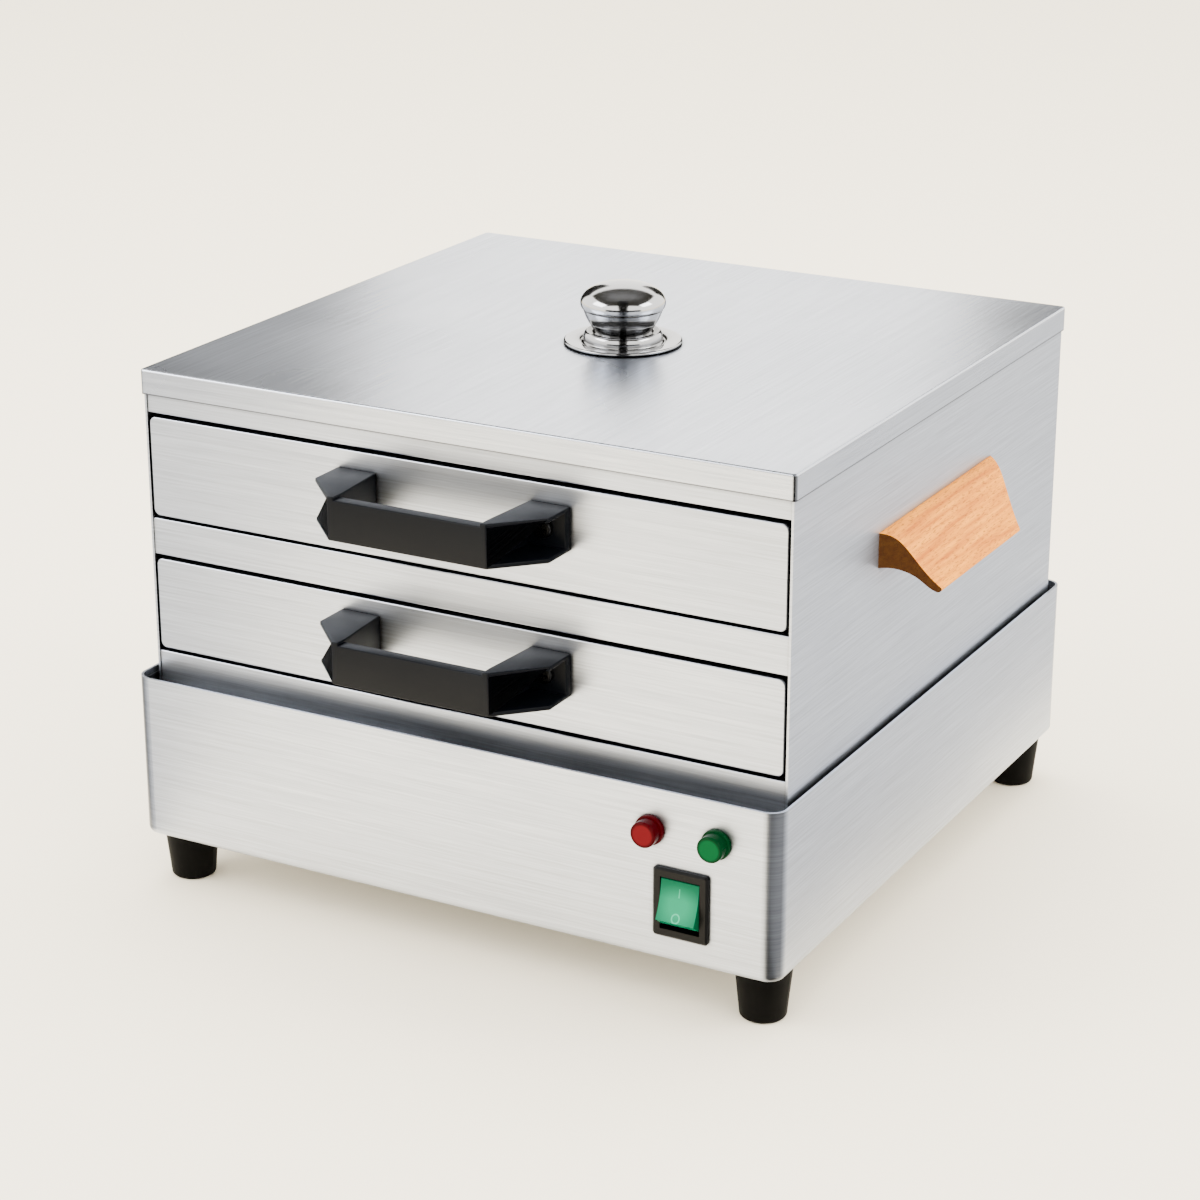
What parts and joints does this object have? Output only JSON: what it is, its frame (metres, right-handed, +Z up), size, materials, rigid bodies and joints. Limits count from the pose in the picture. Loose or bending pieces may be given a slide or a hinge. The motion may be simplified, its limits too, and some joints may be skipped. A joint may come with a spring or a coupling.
{
  "type": "rice roll steamer",
  "caption": "Counter-top electric steamer with a water tank in its base, pull-out drawers one above the other, side grips and a lift-off lid with a knob.",
  "frame": {"origin": "on the table under the middle of the whole object's bounding box, front to back and side to side", "axes": "+X to the right across the side grips, +Y to the back, away from the drawers, +Z up"},
  "size_m": [0.3578, 0.3454, 0.2682],
  "materials": {
    "brushed_sheet": "brushed stainless sheet",
    "tank_steel": "bright pressed stainless",
    "polished_steel": "mirror polished stainless",
    "zinc": "zinc-plated fasteners",
    "brass": "plain brass",
    "element_sheath": "dull heater sheath",
    "ceramic": "glazed ceramic",
    "black_rubber": "moulded rubber",
    "red_silicone": "silicone seal",
    "black_nylon": "fine moulded texture",
    "switch_black": "smooth moulded",
    "green_lens": "translucent green",
    "red_lens": "translucent red",
    "lamp_body": "natural nylon",
    "phenolic": "phenolic moulding",
    "brown_wire": "insulated wire",
    "blue_wire": "insulated wire",
    "earth_wire": "insulated wire",
    "beech": "oiled beech"
  },
  "bodies": {
    "base": {"base_shell": "brushed_sheet", "bottom_cover": "brushed_sheet", "feet": "black_rubber", "foot_screws": "zinc", "m4_nuts": "zinc", "m3_screws": "zinc", "m3_nuts": "zinc", "water_tank": "tank_steel", "heating_element": "element_sheath", "element_bushes": "brass", "element_seals": "red_silicone", "element_nuts": "brass", "element_terminals": "ceramic", "element_saddles": "tank_steel", "boil_dry_cutout": "phenolic", "switch_body": "switch_black", "switch_terminals": "brass", "red_lamp_lens": "red_lens", "green_lamp_lens": "green_lens", "lamp_bodies": "lamp_body", "lamp_nuts": "lamp_body", "terminal_block": "lamp_body", "terminal_screws": "zinc", "power_inlet": "switch_black", "inlet_pins": "brass", "live_wires": "brown_wire", "neutral_wires": "blue_wire", "earth_wire": "earth_wire", "wire_sleeves": "zinc"},
    "rocker": {"switch_rocker": "green_lens"},
    "steam_box": {"side_wall_left": "brushed_sheet", "side_wall_right": "brushed_sheet", "back_wall": "brushed_sheet", "top_rail": "brushed_sheet", "middle_rail": "brushed_sheet", "bottom_rail": "brushed_sheet", "steam_plate": "tank_steel", "runner_upper_left": "brushed_sheet", "runner_upper_right": "brushed_sheet", "runner_lower_left": "brushed_sheet", "runner_lower_right": "brushed_sheet", "wood_grip_left": "beech", "wood_grip_right": "beech", "grip_screws": "zinc", "grip_washers": "zinc"},
    "lid": {"lid_pan": "brushed_sheet", "knob_flange": "polished_steel", "lid_knob": "polished_steel", "knob_washer": "zinc", "knob_screw": "zinc"},
    "upper_drawer": {"upper_drawer_front": "brushed_sheet", "upper_tray": "tank_steel", "upper_handle": "black_nylon", "upper_handle_screws": "zinc", "upper_handle_nuts": "zinc"},
    "lower_drawer": {"lower_drawer_front": "brushed_sheet", "lower_tray": "tank_steel", "lower_handle": "black_nylon", "lower_handle_screws": "zinc", "lower_handle_nuts": "zinc"}
  },
  "joints": [
    {"name": "box_lift", "type": "slide", "parent": "base", "child": "steam_box", "axis": [0, 0, 1], "range_m": [0, 0.15]},
    {"name": "lid_lift", "type": "slide", "parent": "steam_box", "child": "lid", "axis": [0, 0, 1], "range_m": [0, 0.12]},
    {"name": "upper_drawer_slide", "type": "slide", "parent": "steam_box", "child": "upper_drawer", "axis": [0, -1, 0], "range_m": [0, 0.24]},
    {"name": "lower_drawer_slide", "type": "slide", "parent": "steam_box", "child": "lower_drawer", "axis": [0, -1, 0], "range_m": [0, 0.24]},
    {"name": "rocker_hinge", "type": "hinge", "parent": "base", "child": "rocker", "pos_m": [0.1163, -0.14605, 0.0514], "axis": [1, 0, 0], "range_deg": [0, 34]}
  ]
}
